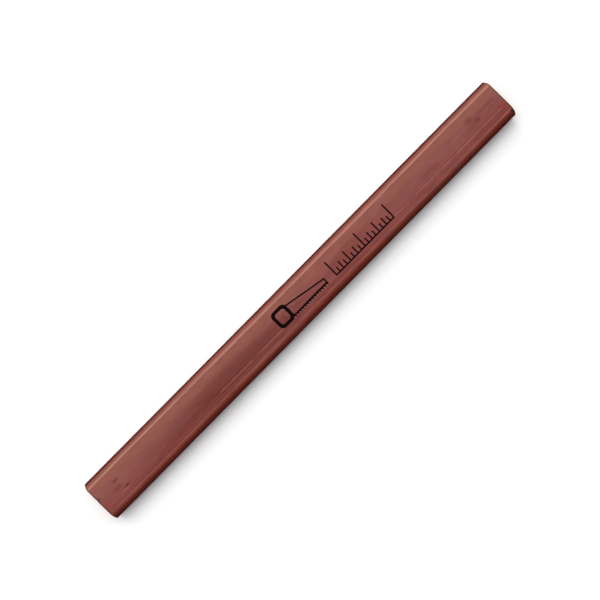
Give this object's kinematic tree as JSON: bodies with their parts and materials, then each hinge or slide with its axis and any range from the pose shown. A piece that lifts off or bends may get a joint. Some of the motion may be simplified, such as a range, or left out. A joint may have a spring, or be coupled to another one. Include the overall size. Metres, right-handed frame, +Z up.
{
  "type": "carpenter pencil",
  "caption": "Flat octagonal carpenter pencil, unsharpened: a flat graphite lead between two glued cedar slats, red-brown lacquer, sawn ends, with a plain saw and scale printed on top.",
  "frame": {"origin": "middle of the wide bottom face that the pencil lies on, half way along its length", "axes": "+X along the pencil, towards the end that the printed scale is nearer; +Y across its width; +Z up through its thickness, out of the printed face"},
  "size_m": [0.178, 0.0146, 0.0076],
  "materials": {
    "cedar": "matte",
    "graphite": "satin",
    "glue": "satin",
    "lacquer": "satin",
    "ink": "satin"
  },
  "bodies": {
    "root": {"lower_slat": "cedar", "upper_slat": "cedar", "graphite_lead": "graphite", "glue_film": "glue", "lacquer_coat": "lacquer", "printed_saw": "ink", "printed_scale": "ink"}
  },
  "joints": []
}
